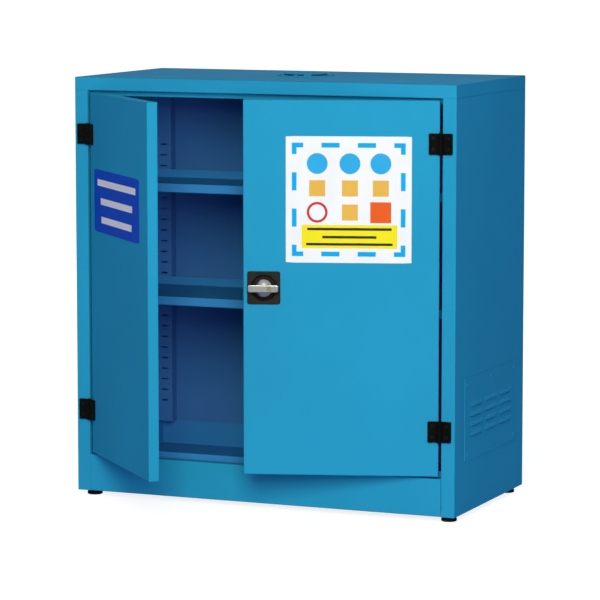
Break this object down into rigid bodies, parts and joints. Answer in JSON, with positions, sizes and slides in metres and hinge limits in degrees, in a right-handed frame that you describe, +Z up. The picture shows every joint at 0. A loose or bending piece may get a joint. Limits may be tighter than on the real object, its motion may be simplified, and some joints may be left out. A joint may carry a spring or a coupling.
{
  "type": "chemical storage cabinet",
  "caption": "Sheet-steel chemical storage cabinet with hinged doors, tray shelves, a sump, louvred side vents, a lockable T-handle with bolt rods, and levelling feet.",
  "frame": {"origin": "middle of the whole cabinet's outer box, doors ajar as at rest, on the surface that the feet stand on", "axes": "+X to the right seen from the front, +Y from the front to the back, +Z up"},
  "size_m": [1.0098, 0.8308, 1.0502],
  "materials": {
    "blue_paint": "semi-gloss blue powder coat",
    "inner_paint": "semi-gloss blue powder coat, inside",
    "shelf_paint": "semi-gloss blue powder coat on shelves",
    "zinc_plate": "bright zinc plate",
    "chrome_plate": "satin chrome",
    "black_plastic": "fine-textured black moulding",
    "black_rubber": "dull black"
  },
  "bodies": {
    "casing": {"side_panel_left": "blue_paint", "side_panel_right": "blue_paint", "roof_panel": "blue_paint", "back_panel": "inner_paint", "plinth_panel": "blue_paint", "sump_tray": "inner_paint", "base_rail_left": "zinc_plate", "base_rail_right": "zinc_plate", "vent_cover_left": "blue_paint", "vent_cover_right": "blue_paint", "outlet_cover": "blue_paint", "upright_front_left": "inner_paint", "upright_front_right": "inner_paint", "upright_rear_left": "inner_paint", "upright_rear_right": "inner_paint", "shelf_upper": "shelf_paint", "shelf_lower": "shelf_paint", "clip_upper_front_left": "zinc_plate", "clip_upper_front_right": "zinc_plate", "clip_upper_rear_left": "zinc_plate", "clip_upper_rear_right": "zinc_plate", "clip_lower_front_left": "zinc_plate", "clip_lower_front_right": "zinc_plate", "clip_lower_rear_left": "zinc_plate", "clip_lower_rear_right": "zinc_plate", "hinge_frame_upper_left": "black_plastic", "hinge_frame_upper_right": "black_plastic", "hinge_frame_lower_left": "black_plastic", "hinge_frame_lower_right": "black_plastic", "hinge_pin_upper_left": "zinc_plate", "hinge_pin_upper_right": "zinc_plate", "hinge_pin_lower_left": "zinc_plate", "hinge_pin_lower_right": "zinc_plate"},
    "left_door": {"door_panel_left": "blue_paint", "door_stiffener_left": "blue_paint", "hinge_door_upper_left": "black_plastic", "hinge_door_lower_left": "black_plastic"},
    "right_door": {"door_panel_right": "blue_paint", "door_stiffener_right": "blue_paint", "hinge_door_upper_right": "black_plastic", "hinge_door_lower_right": "black_plastic", "lock_dish": "black_plastic", "gearbox_base": "zinc_plate", "gearbox_cover": "zinc_plate", "rod_guide_upper": "black_plastic", "rod_guide_lower": "black_plastic"},
    "handle": {"lock_handle": "chrome_plate", "lock_spindle": "zinc_plate", "lock_pinion": "zinc_plate", "latch_cam": "zinc_plate", "cam_nut": "zinc_plate"},
    "key_cylinder": {"key_plug": "chrome_plate"},
    "upper_rod": {"bolt_rod_upper": "zinc_plate"},
    "lower_rod": {"bolt_rod_lower": "zinc_plate"},
    "front_left_foot": {"foot_front_left": "black_rubber"},
    "front_right_foot": {"foot_front_right": "black_rubber"},
    "rear_left_foot": {"foot_rear_left": "black_rubber"},
    "rear_right_foot": {"foot_rear_right": "black_rubber"}
  },
  "joints": [
    {"name": "left_door_hinge", "type": "hinge", "parent": "casing", "child": "left_door", "pos_m": [-0.463, -0.09159, 0.56], "axis": [0, 0, -1], "range_deg": [-46.5, 78.5]},
    {"name": "right_door_hinge", "type": "hinge", "parent": "casing", "child": "right_door", "pos_m": [0.463, -0.09159, 0.56], "axis": [0, 0, 1], "range_deg": [-18, 107]},
    {"name": "handle_turn", "type": "hinge", "parent": "right_door", "child": "handle", "pos_m": [0.06282, -0.21425, 0.5613], "axis": [-0.309, 0.9511, 0], "range_deg": [0, 90]},
    {"name": "key_turn", "type": "hinge", "parent": "handle", "child": "key_cylinder", "pos_m": [0.07709, -0.20962, 0.5613], "axis": [-0.309, 0.9511, 0], "range_deg": [0, 90]},
    {"name": "upper_rod_slide", "type": "slide", "parent": "right_door", "child": "upper_rod", "axis": [0, 0, 1], "range_m": [0, 0.0181]},
    {"name": "lower_rod_slide", "type": "slide", "parent": "right_door", "child": "lower_rod", "axis": [0, 0, -1], "range_m": [0, 0.0181]},
    {"name": "front_left_foot_turn", "type": "hinge", "parent": "casing", "child": "front_left_foot", "pos_m": [-0.472, -0.04459, 0.01], "axis": [0, 0, 1], "continuous": true},
    {"name": "front_right_foot_turn", "type": "hinge", "parent": "casing", "child": "front_right_foot", "pos_m": [0.472, -0.04459, 0.01], "axis": [0, 0, 1], "continuous": true},
    {"name": "rear_left_foot_turn", "type": "hinge", "parent": "casing", "child": "rear_left_foot", "pos_m": [-0.472, 0.37541, 0.01], "axis": [0, 0, 1], "continuous": true},
    {"name": "rear_right_foot_turn", "type": "hinge", "parent": "casing", "child": "rear_right_foot", "pos_m": [0.472, 0.37541, 0.01], "axis": [0, 0, 1], "continuous": true}
  ],
  "couplings": [
    {"joint": "upper_rod_slide", "follows": "handle_turn", "m_per_rad": 0.0115},
    {"joint": "lower_rod_slide", "follows": "handle_turn", "m_per_rad": 0.0115}
  ]
}
